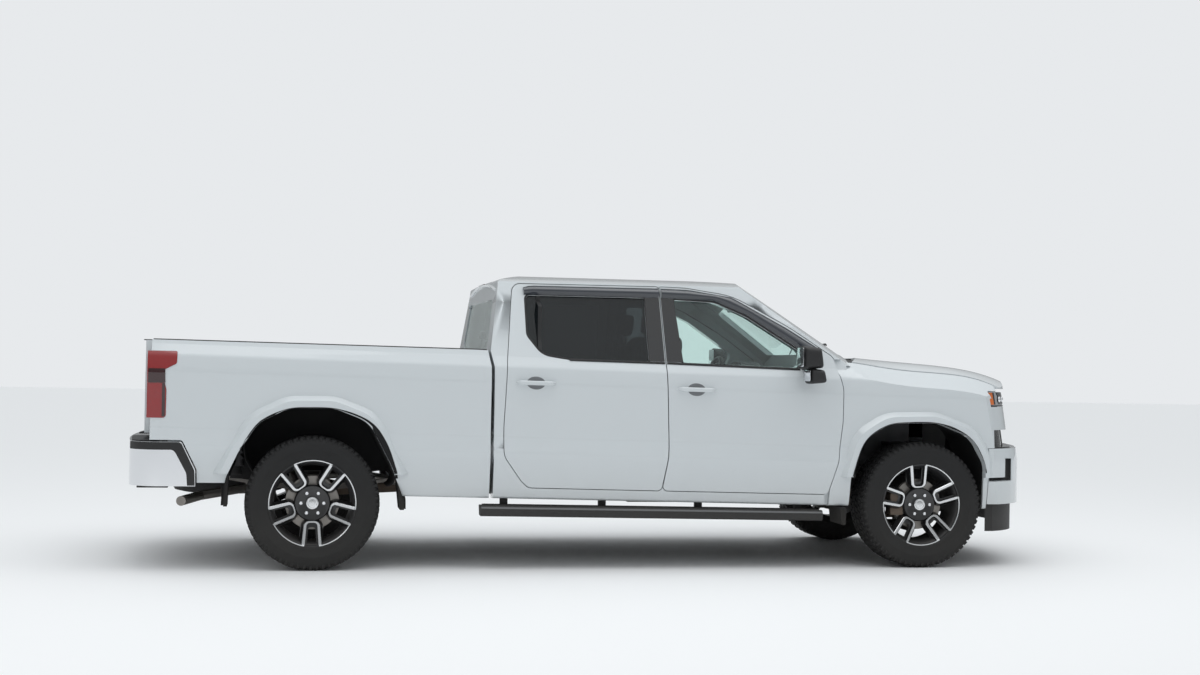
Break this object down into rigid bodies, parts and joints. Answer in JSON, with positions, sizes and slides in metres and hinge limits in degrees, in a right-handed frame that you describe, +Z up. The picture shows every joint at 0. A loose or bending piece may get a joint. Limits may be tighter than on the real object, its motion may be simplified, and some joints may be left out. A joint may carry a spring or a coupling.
{
  "type": "pickup truck",
  "caption": "Crew cab pickup truck with an open load bed, hinged doors, hood and tailgate, and steered front wheels.",
  "frame": {"origin": "on the ground below the centre of the overall box", "axes": "+X forward, +Y to the left, +Z up"},
  "size_m": [6.1256, 2.412, 1.9049],
  "materials": {
    "white_paint": "gloss clear-coated white",
    "frame_black": "satin black chassis paint",
    "glass_clear": "clear green-tinted",
    "glass_dark": "dark tinted",
    "trim_black": "grained black plastic",
    "gloss_black": "gloss black plastic",
    "tyre_rubber": "black tyre rubber",
    "wheel_alloy": "machined and painted alloy",
    "cast_iron": "dull cast iron",
    "chassis_steel": "dull steel",
    "lamp_lens": "clear lamp lens",
    "red_lens": "red lamp lens",
    "chrome_trim": "bright chrome",
    "seat_cloth": "dark seat cloth",
    "cabin_plastic": "dark cabin plastic",
    "engine_grey": "cast grey"
  },
  "bodies": {
    "root": {"frame_rails": "frame_black", "crossmembers": "frame_black", "cab_shell": "white_paint", "cab_glass": "glass_clear", "dashboard": "cabin_plastic", "seats": "seat_cloth", "front_fenders": "white_paint", "cowl": "trim_black", "grille": "gloss_black", "headlamps": "lamp_lens", "front_bumper": "white_paint", "air_dam": "trim_black", "engine_block": "engine_grey", "radiator": "frame_black", "arch_liners": "trim_black", "bed_floor": "white_paint", "bed_sides": "white_paint", "bed_front_wall": "white_paint", "tail_lamps": "red_lens", "rear_bumper": "chrome_trim", "running_boards": "trim_black", "front_suspension": "frame_black", "driveline": "cast_iron", "rear_axle": "cast_iron", "rear_suspension": "chassis_steel", "exhaust": "chassis_steel", "fuel_tank": "trim_black", "spare_wheel": "tyre_rubber"},
    "hood": {"hood": "white_paint"},
    "tailgate": {"tailgate": "white_paint"},
    "door_front_left": {"door_front_left": "white_paint", "glass_front_left": "glass_clear", "mirror_left": "trim_black"},
    "wheel_front_left": {"tyre_front_left": "tyre_rubber", "rim_front_left": "wheel_alloy"},
    "door_rear_left": {"door_rear_left": "white_paint", "glass_rear_left": "glass_dark"},
    "wheel_rear_left": {"tyre_rear_left": "tyre_rubber", "rim_rear_left": "wheel_alloy"},
    "knuckle_left": {"knuckle_left": "cast_iron"},
    "door_front_right": {"door_front_right": "white_paint", "glass_front_right": "glass_clear", "mirror_right": "trim_black"},
    "wheel_front_right": {"tyre_front_right": "tyre_rubber", "rim_front_right": "wheel_alloy"},
    "door_rear_right": {"door_rear_right": "white_paint", "glass_rear_right": "glass_dark"},
    "wheel_rear_right": {"tyre_rear_right": "tyre_rubber", "rim_rear_right": "wheel_alloy"},
    "knuckle_right": {"knuckle_right": "cast_iron"}
  },
  "joints": [
    {"name": "steer_left", "type": "hinge", "parent": "root", "child": "knuckle_left", "pos_m": [2.083, 0.8, 0.416], "axis": [0, 0, 1], "range_deg": [-33, 33]},
    {"name": "spin_front_left", "type": "hinge", "parent": "knuckle_left", "child": "wheel_front_left", "pos_m": [2.083, 0.871, 0.416], "axis": [0, 1, 0], "continuous": true},
    {"name": "spin_rear_left", "type": "hinge", "parent": "root", "child": "wheel_rear_left", "pos_m": [-1.905, 0.871, 0.416], "axis": [0, 1, 0], "continuous": true},
    {"name": "front_door_left", "type": "hinge", "parent": "root", "child": "door_front_left", "pos_m": [1.533, 1.011, 0.9], "axis": [0, 0, -1], "range_deg": [0, 70]},
    {"name": "rear_door_left", "type": "hinge", "parent": "root", "child": "door_rear_left", "pos_m": [0.356, 1.011, 0.9], "axis": [0, 0, -1], "range_deg": [0, 70]},
    {"name": "steer_right", "type": "hinge", "parent": "root", "child": "knuckle_right", "pos_m": [2.083, -0.8, 0.416], "axis": [0, 0, 1], "range_deg": [-33, 33]},
    {"name": "spin_front_right", "type": "hinge", "parent": "knuckle_right", "child": "wheel_front_right", "pos_m": [2.083, -0.871, 0.416], "axis": [0, 1, 0], "continuous": true},
    {"name": "spin_rear_right", "type": "hinge", "parent": "root", "child": "wheel_rear_right", "pos_m": [-1.905, -0.871, 0.416], "axis": [0, 1, 0], "continuous": true},
    {"name": "front_door_right", "type": "hinge", "parent": "root", "child": "door_front_right", "pos_m": [1.533, -1.011, 0.9], "axis": [0, 0, 1], "range_deg": [0, 70]},
    {"name": "rear_door_right", "type": "hinge", "parent": "root", "child": "door_rear_right", "pos_m": [0.356, -1.011, 0.9], "axis": [0, 0, 1], "range_deg": [0, 70]},
    {"name": "hood_hinge", "type": "hinge", "parent": "root", "child": "hood", "pos_m": [1.625, 0, 1.345], "axis": [0, -1, 0], "range_deg": [0, 50]},
    {"name": "tailgate_hinge", "type": "hinge", "parent": "root", "child": "tailgate", "pos_m": [-2.905, 0, 0.87], "axis": [0, -1, 0], "range_deg": [0, 90]}
  ],
  "couplings": [
    {"joint": "steer_right", "follows": "steer_left", "ratio": 1}
  ]
}
